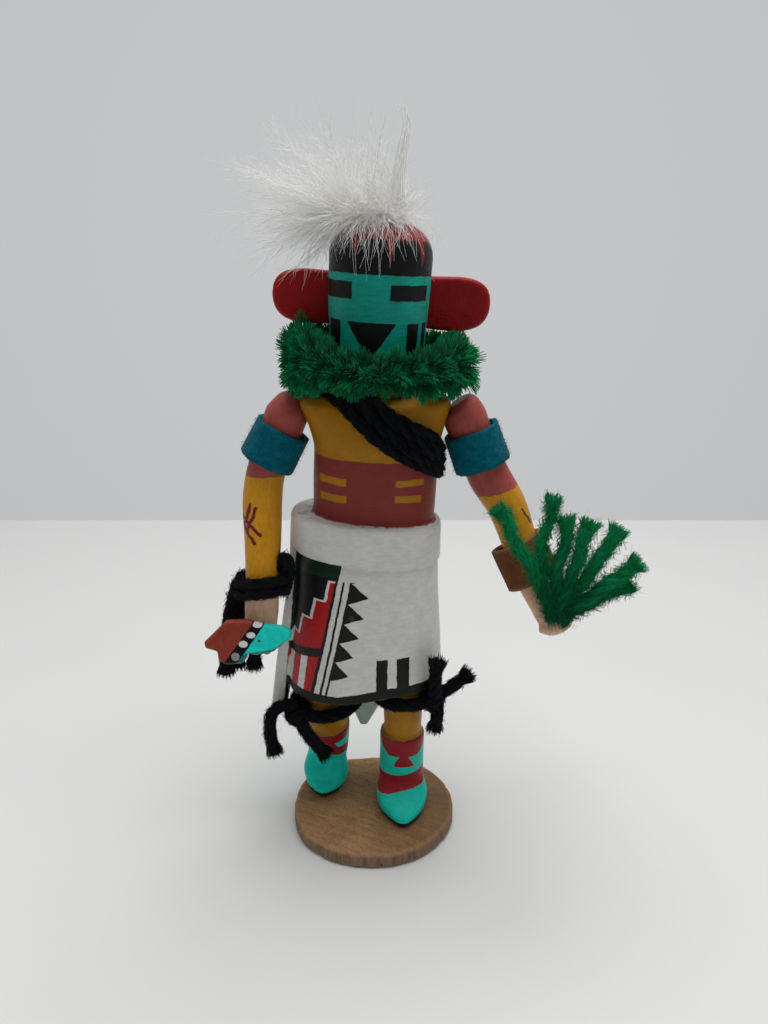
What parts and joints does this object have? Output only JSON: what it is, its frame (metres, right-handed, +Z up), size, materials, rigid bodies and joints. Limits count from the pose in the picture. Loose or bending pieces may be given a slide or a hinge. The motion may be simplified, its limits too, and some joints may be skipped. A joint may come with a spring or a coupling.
{
  "type": "kachina doll",
  "caption": "Carved and painted wooden dancer doll with a cylindrical mask, feather tuft, wool ruff, kilt and tall boots, standing on an oval wood slice.",
  "frame": {"origin": "middle of the base's flat underside", "axes": "+Z up, the doll faces -Y, +X to the right as the viewer faces it"},
  "size_m": [0.101, 0.0454, 0.176],
  "materials": {
    "base_wood": "matte",
    "painted_wood": "satin",
    "mask_paint": "satin",
    "red_paint": "satin",
    "arm_paint": "satin",
    "wand_paint": "satin",
    "down": "matte",
    "green_wool": "matte",
    "black_yarn": "matte",
    "teal_felt": "matte",
    "brown_leather": "matte"
  },
  "bodies": {
    "root": {"base": "base_wood", "body": "painted_wood", "head": "mask_paint", "ear_left": "red_paint", "ear_right": "red_paint", "feather_tuft": "down", "neck_ruff": "green_wool", "bandolier": "black_yarn", "arm_left": "arm_paint", "arm_right": "arm_paint", "armband_left": "teal_felt", "armband_right": "teal_felt", "wrist_tie": "black_yarn", "wristband": "brown_leather", "dance_wand": "wand_paint", "evergreen_sprig": "green_wool", "leg_tie_left": "black_yarn", "leg_tie_right": "black_yarn"}
  },
  "joints": []
}
